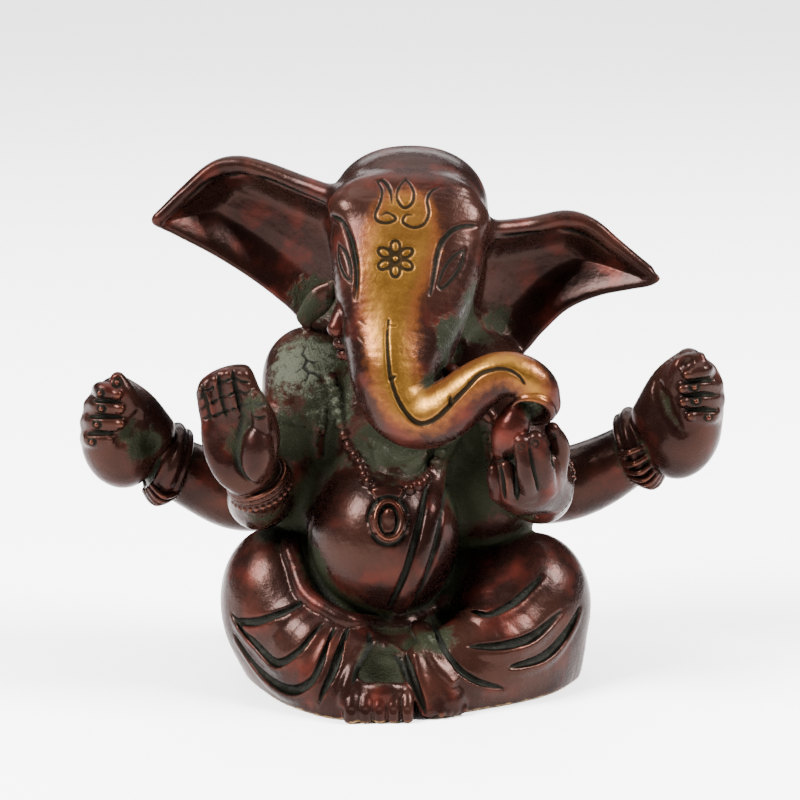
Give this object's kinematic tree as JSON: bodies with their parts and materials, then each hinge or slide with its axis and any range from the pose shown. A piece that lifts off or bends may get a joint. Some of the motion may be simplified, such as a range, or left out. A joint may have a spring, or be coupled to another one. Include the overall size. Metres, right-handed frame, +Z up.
{
  "type": "seated elephant-headed deity figurine",
  "caption": "Small cast brass figurine of a seated, four-armed elephant-headed deity with spread ears, a curled trunk, folded legs and a flat base; a desk or shrine ornament.",
  "frame": {"origin": "middle of the object's box, on the surface it stands on", "axes": "+Z up, -Y the way the figure faces, +X towards the figure's own left side"},
  "size_m": [0.1161, 0.0546, 0.096],
  "materials": {
    "red_lacquer": "dark oxblood lacquer over brass, glossy, rubbed on the edges",
    "polished_gold": "lacquer polished away to bare gold-coloured brass down the front",
    "worn_copper": "lighter red-brown lacquer, worn glossy",
    "green_patina": "matt dark green patina in the recesses"
  },
  "bodies": {
    "root": {"torso": "red_lacquer", "head": "red_lacquer", "trunk": "polished_gold", "right_ear": "red_lacquer", "left_ear": "red_lacquer", "right_tusk": "worn_copper", "left_tusk": "worn_copper", "right_front_arm": "red_lacquer", "left_front_arm": "red_lacquer", "right_rear_arm": "red_lacquer", "left_rear_arm": "red_lacquer", "right_front_hand": "red_lacquer", "left_front_hand": "red_lacquer", "right_rear_hand": "red_lacquer", "left_rear_hand": "red_lacquer", "sweet": "worn_copper", "right_leg": "red_lacquer", "left_leg": "red_lacquer", "right_foot": "red_lacquer", "left_foot": "red_lacquer", "seat": "red_lacquer", "waist_sash": "red_lacquer", "sacred_thread": "red_lacquer", "necklace": "red_lacquer", "collar": "green_patina", "pendant": "worn_copper", "right_front_bracelet": "red_lacquer", "left_front_bracelet": "red_lacquer", "right_rear_bracelet": "red_lacquer", "left_rear_bracelet": "red_lacquer", "right_armlet": "red_lacquer", "left_armlet": "red_lacquer"}
  },
  "joints": []
}
